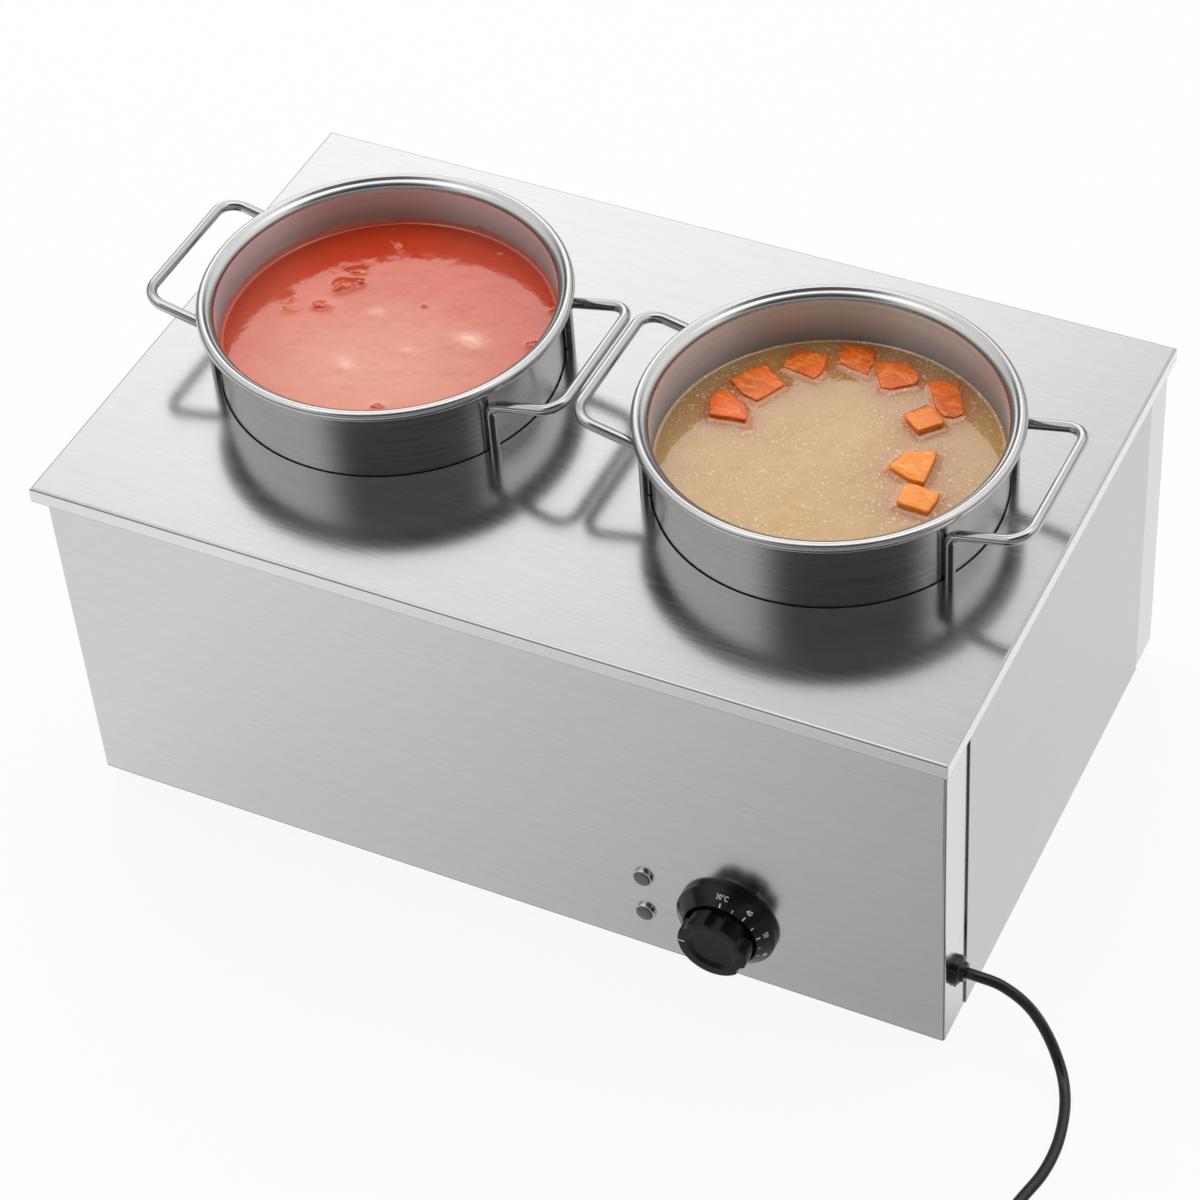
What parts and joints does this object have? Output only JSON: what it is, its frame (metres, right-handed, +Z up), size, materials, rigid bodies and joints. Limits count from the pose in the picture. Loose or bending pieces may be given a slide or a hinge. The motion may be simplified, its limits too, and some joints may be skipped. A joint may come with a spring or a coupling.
{
  "type": "soup station",
  "caption": "Countertop wet-heat soup warmer: folded steel cabinet with a water bath, lift-out round pots with rod handles, a dial thermostat, pilot lamps and a mains cord.",
  "frame": {"origin": "on the table under the middle of the object without its cord: half way between the sides and half way between the front of the thermostat grip and the back edge of the top plate", "axes": "+Z up, +X to the right as seen from the front, -Y out of the front panel"},
  "size_m": [0.6872, 0.6863, 0.324],
  "materials": {
    "cabinet_steel": "brushed stainless sheet",
    "tank_steel": "dull stainless sheet",
    "pot_steel": "satin wall and polished rim",
    "rod_steel": "polished rod",
    "fastener_steel": "zinc plated",
    "element_steel": "annealed sheath",
    "brass": "plain",
    "seal_rubber": "matt",
    "foot_rubber": "matt",
    "black_plastic": "satin moulded",
    "cream_plastic": "moulded",
    "lamp_lens": "clear grey with a fine grid",
    "lamp_bezel": "polished",
    "cord_rubber": "satin sheath"
  },
  "bodies": {
    "cabinet": {"front_panel": "cabinet_steel", "back_panel": "cabinet_steel", "left_panel": "cabinet_steel", "right_panel": "cabinet_steel", "base_plate": "cabinet_steel", "base_screws": "fastener_steel", "feet": "foot_rubber", "foot_screws": "fastener_steel", "foot_nuts": "fastener_steel", "top_plate": "cabinet_steel", "water_tank": "tank_steel", "heating_element": "element_steel", "element_gaskets": "seal_rubber", "element_nuts": "brass", "element_saddles": "tank_steel", "thermostat_body": "cream_plastic", "thermostat_screws": "fastener_steel", "dial_ring": "black_plastic", "capillary": "brass", "sensor_bulb": "brass", "bulb_clips": "tank_steel", "limit_cutout": "cream_plastic", "cutout_strap": "tank_steel", "upper_lamp_bezel": "lamp_bezel", "upper_lamp_lens": "lamp_lens", "upper_lamp_body": "cream_plastic", "upper_lamp_nut": "fastener_steel", "lower_lamp_bezel": "lamp_bezel", "lower_lamp_lens": "lamp_lens", "lower_lamp_body": "cream_plastic", "lower_lamp_nut": "fastener_steel", "terminal_block": "cream_plastic", "cord_tail": "cord_rubber", "cord_gland": "black_plastic", "gland_nut": "black_plastic", "power_cord": "cord_rubber", "cord_coil": "cord_rubber", "cord_tie": "black_plastic", "plug_lead": "cord_rubber", "plug_body": "black_plastic", "plug_pins": "brass"},
    "thermostat_knob": {"knob_grip": "black_plastic", "knob_spindle": "fastener_steel"},
    "left_pot": {"left_pot_shell": "pot_steel", "left_pot_outer_handle": "rod_steel", "left_pot_inner_handle": "rod_steel"},
    "right_pot": {"right_pot_shell": "pot_steel", "right_pot_inner_handle": "rod_steel", "right_pot_outer_handle": "rod_steel"}
  },
  "joints": [
    {"name": "thermostat_turn", "type": "hinge", "parent": "cabinet", "child": "thermostat_knob", "pos_m": [0.155, -0.17415, 0.06], "axis": [0, 1, 0], "range_deg": [0, 295]},
    {"name": "left_pot_lift", "type": "slide", "parent": "cabinet", "child": "left_pot", "axis": [0, 0, 1], "range_m": [0, 0.22]},
    {"name": "right_pot_lift", "type": "slide", "parent": "cabinet", "child": "right_pot", "axis": [0, 0, 1], "range_m": [0, 0.22]}
  ]
}
